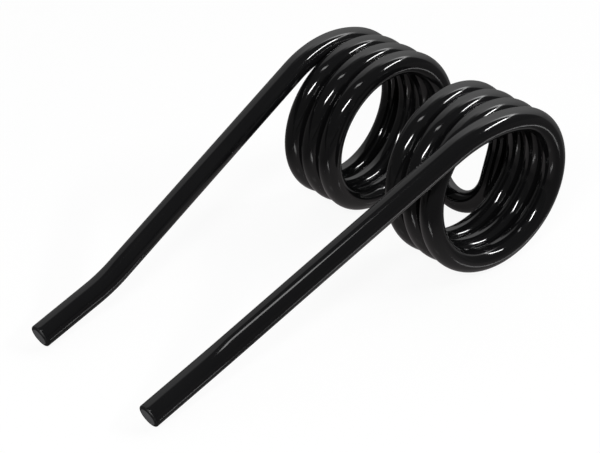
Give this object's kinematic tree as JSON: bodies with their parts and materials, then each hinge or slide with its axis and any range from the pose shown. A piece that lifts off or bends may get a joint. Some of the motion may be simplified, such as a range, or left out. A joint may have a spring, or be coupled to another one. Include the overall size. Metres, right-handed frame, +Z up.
{
  "type": "mower conditioner tine",
  "caption": "Double torsion spring tine bent from one round wire: two close coils side by side, an arm from each outer end and a loop that joins the inner ends.",
  "frame": {"origin": "middle of the footprint at table height, where the tine lies on its bridge loop and both arm tips", "axes": "+X along the coils, from the left coil to the right one; the arms reach towards -Y; +Z up"},
  "size_m": [0.1104, 0.2196, 0.0809],
  "materials": {
    "black_paint": "gloss black paint on spring steel wire"
  },
  "bodies": {
    "root": {"tine": "black_paint"}
  },
  "joints": []
}
